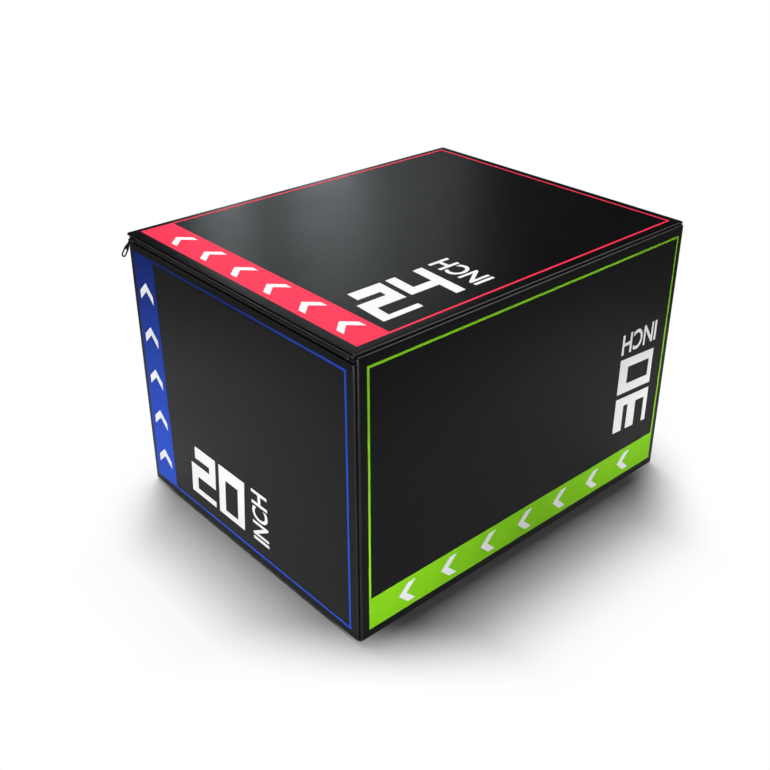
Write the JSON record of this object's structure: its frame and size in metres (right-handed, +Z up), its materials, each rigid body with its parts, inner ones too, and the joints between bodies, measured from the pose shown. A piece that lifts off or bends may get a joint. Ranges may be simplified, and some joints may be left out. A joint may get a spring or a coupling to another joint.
{
  "type": "plyo box",
  "caption": "Soft-sided plyometric jump box: zipped vinyl cover with a fold-back lid over foam pads on a braced plywood carcass; turning it changes the step height.",
  "frame": {"origin": "middle of the bottom face, at floor height", "axes": "+X along the 30 inch edge, +Y along the 24 inch edge, +Z up along the 20 inch edge"},
  "size_m": [0.7811, 0.6138, 0.508],
  "materials": {
    "vinyl": "fine leather grain, satin",
    "foam": "open cell foam, matte",
    "plywood": "sanded birch plywood",
    "zip_tape": "woven polyester",
    "zip_coil": "nylon coil",
    "zip_metal": "black enamel"
  },
  "bodies": {
    "box": {"carcass_base": "plywood", "carcass_top": "plywood", "carcass_front": "plywood", "carcass_back": "plywood", "carcass_left": "plywood", "carcass_right": "plywood", "carcass_long_brace": "plywood", "carcass_cross_brace": "plywood", "foam_top": "foam", "foam_bottom": "foam", "foam_front": "foam", "foam_back": "foam", "foam_left": "foam", "foam_right": "foam", "cover_front": "vinyl", "cover_left": "vinyl", "cover_back": "vinyl", "cover_right": "vinyl", "cover_bottom": "vinyl", "zip_tape_lower": "zip_tape", "zip_stops": "zip_metal", "zip_chain_lower_left": "zip_coil", "zip_chain_lower_back": "zip_coil"},
    "lid": {"cover_lid": "vinyl", "zip_tape_upper": "zip_tape", "zip_chain_upper_left": "zip_coil", "zip_chain_upper_back": "zip_coil"},
    "slider_left": {"zip_slider_left": "zip_metal"},
    "slider_back": {"zip_slider_back": "zip_metal"},
    "pull_left": {"zip_pull_left": "zip_metal"},
    "pull_back": {"zip_pull_back": "zip_metal"}
  },
  "joints": [
    {"name": "lid_hinge", "type": "hinge", "parent": "box", "child": "lid", "pos_m": [0, -0.29795, 0.50525], "axis": [1, 0, 0], "range_deg": [0, 135]},
    {"name": "left_slider_run", "type": "slide", "parent": "box", "child": "slider_left", "axis": [0, -1, 0], "range_m": [0, 0.568], "deforming": ["zip_chain_lower_left", "zip_chain_upper_left"]},
    {"name": "back_slider_run", "type": "slide", "parent": "box", "child": "slider_back", "axis": [1, 0, 0], "range_m": [0, 0.734], "deforming": ["zip_chain_lower_back", "zip_chain_upper_back"]},
    {"name": "left_pull_swing", "type": "hinge", "parent": "slider_left", "child": "pull_left", "pos_m": [-0.38301, 0.29095, 0.49825], "axis": [0, 1, 0], "range_deg": [-32, 148]},
    {"name": "back_pull_swing", "type": "hinge", "parent": "slider_back", "child": "pull_back", "pos_m": [-0.36715, 0.30681, 0.49825], "axis": [1, 0, 0], "range_deg": [0, 180]}
  ]
}
